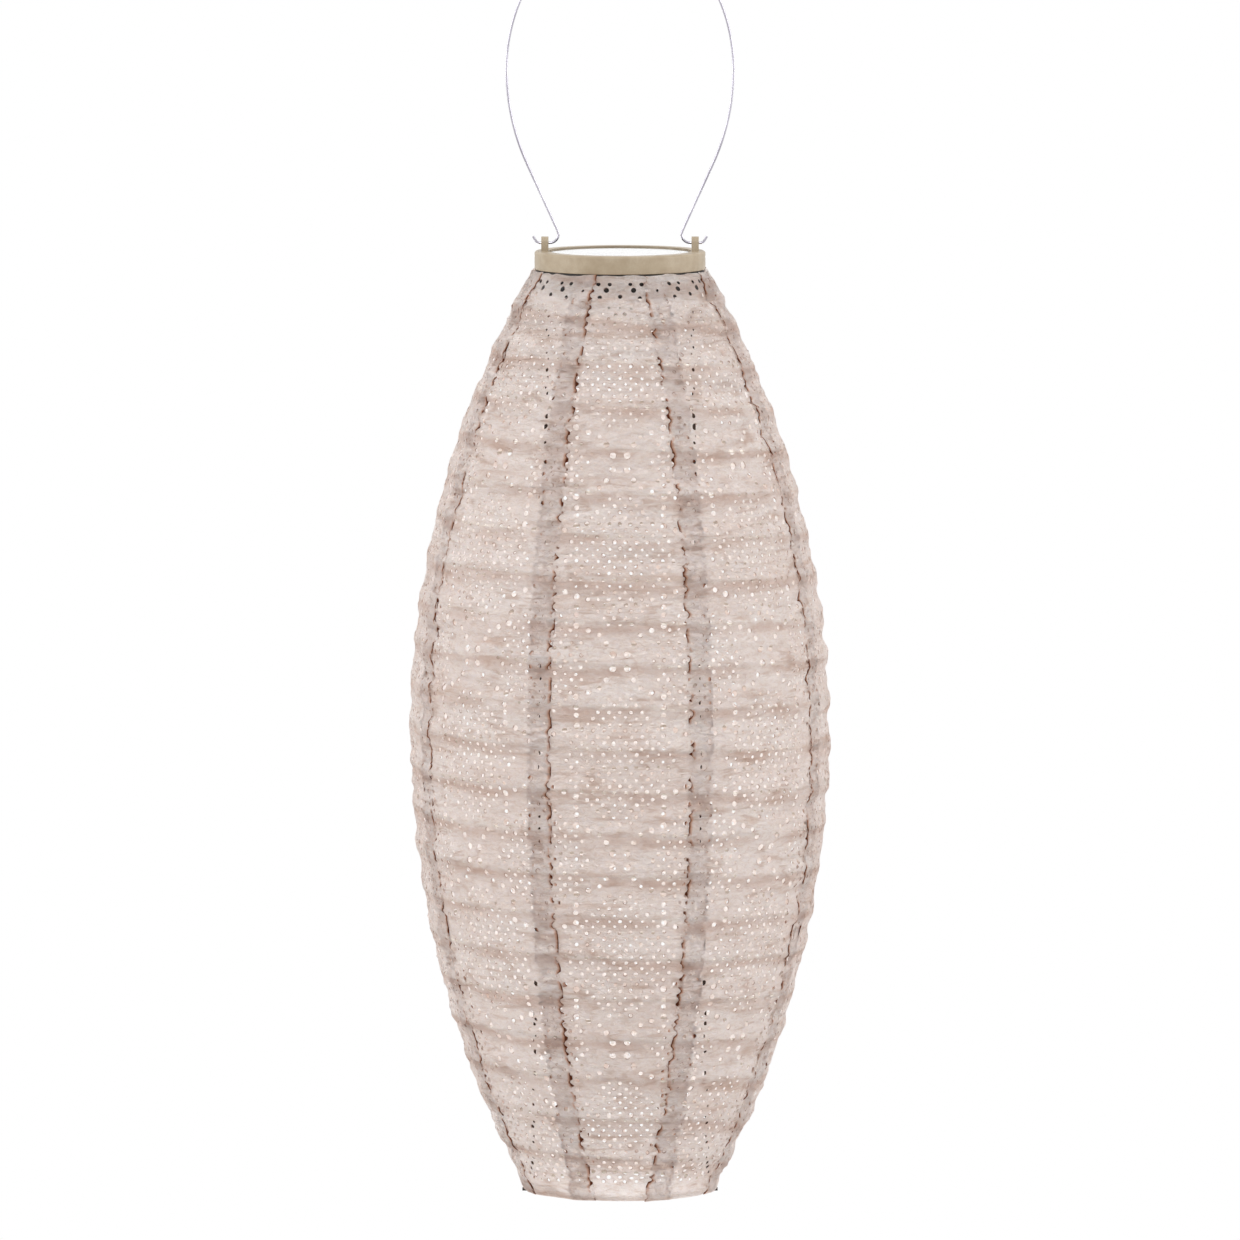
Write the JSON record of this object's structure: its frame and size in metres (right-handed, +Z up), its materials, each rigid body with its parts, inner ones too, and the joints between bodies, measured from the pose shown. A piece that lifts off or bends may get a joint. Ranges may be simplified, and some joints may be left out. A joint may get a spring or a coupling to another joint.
{
  "type": "accordion lantern",
  "caption": "Hanging accordion lantern with a perforated fabric shade on a spiral wire, a solar cap light and a wire bail handle.",
  "frame": {"origin": "hang point: the underside of the bail's top, on the lantern's axis", "axes": "+Z up along the lantern's axis, +X through the right-hand lug, front of the lantern towards -Y"},
  "size_m": [0.2, 0.2, 0.6045],
  "materials": {
    "steel_wire": "polished steel wire",
    "cap_plastic": "semi-gloss beige plastic",
    "clear_window": "clear, thin",
    "seal_rubber": "matt",
    "panel_board": "epoxy coated",
    "solar_silicon": "glossy silicon",
    "dark_plastic": "moulded, lightly textured",
    "screw_steel": "zinc plated",
    "circuit_green": "solder mask",
    "component_black": "moulded",
    "led_resin": "clear resin with yellow phosphor",
    "frosted_plastic": "frosted",
    "cell_sleeve": "plain printed-less sleeve",
    "contact_nickel": "nickel plated",
    "knob_plastic": "moulded",
    "lead_insulation": "insulated lead",
    "ring_wire": "coated wire",
    "rib_wire": "coated wire",
    "leg_wire": "bronze coated wire",
    "shade_fabric": "perforated non-woven, pale pinkish beige"
  },
  "bodies": {
    "handle": {"bail_handle": "steel_wire"},
    "cap": {"cap_ring": "cap_plastic", "solar_window": "clear_window", "window_seal": "seal_rubber", "solar_panel": "panel_board", "solar_cells": "solar_silicon", "module_housing": "dark_plastic", "module_base": "dark_plastic", "module_screws": "screw_steel", "circuit_board": "circuit_green", "board_components": "component_black", "led_lamp": "led_resin", "led_diffuser": "frosted_plastic", "battery_cell": "cell_sleeve", "spring_contact": "contact_nickel", "plate_contact": "contact_nickel", "switch_case": "contact_nickel", "panel_leads": "lead_insulation", "battery_leads": "lead_insulation", "shade_top_ring": "ring_wire", "spiral_rib": "rib_wire", "stretcher_leg_left": "leg_wire", "stretcher_leg_right": "leg_wire", "fabric_gore_1": "shade_fabric", "fabric_gore_2": "shade_fabric", "fabric_gore_3": "shade_fabric", "fabric_gore_4": "shade_fabric", "fabric_gore_5": "shade_fabric", "fabric_gore_6": "shade_fabric", "fabric_gore_7": "shade_fabric", "fabric_gore_8": "shade_fabric"},
    "bottom_ring": {"shade_bottom_ring": "ring_wire"},
    "door": {"battery_door": "dark_plastic"},
    "switch": {"switch_slider": "knob_plastic"}
  },
  "joints": [
    {"name": "handle_swing", "type": "hinge", "parent": "handle", "child": "cap", "pos_m": [0, 0, -0.15], "axis": [1, 0, 0], "range_deg": [-98, 98]},
    {"name": "collapse", "type": "slide", "parent": "cap", "child": "bottom_ring", "axis": [0, 0, 1], "range_m": [0, 0.3846], "deforming": ["fabric_gore_1", "fabric_gore_2", "fabric_gore_3", "fabric_gore_4", "fabric_gore_5", "fabric_gore_6", "fabric_gore_7", "fabric_gore_8", "spiral_rib"]},
    {"name": "battery_door_hinge", "type": "hinge", "parent": "cap", "child": "door", "pos_m": [0, 0.02, -0.1729], "axis": [1, 0, 0], "range_deg": [0, 95]},
    {"name": "power_switch", "type": "slide", "parent": "cap", "child": "switch", "axis": [1, 0, 0], "range_m": [0, 0.004]}
  ]
}
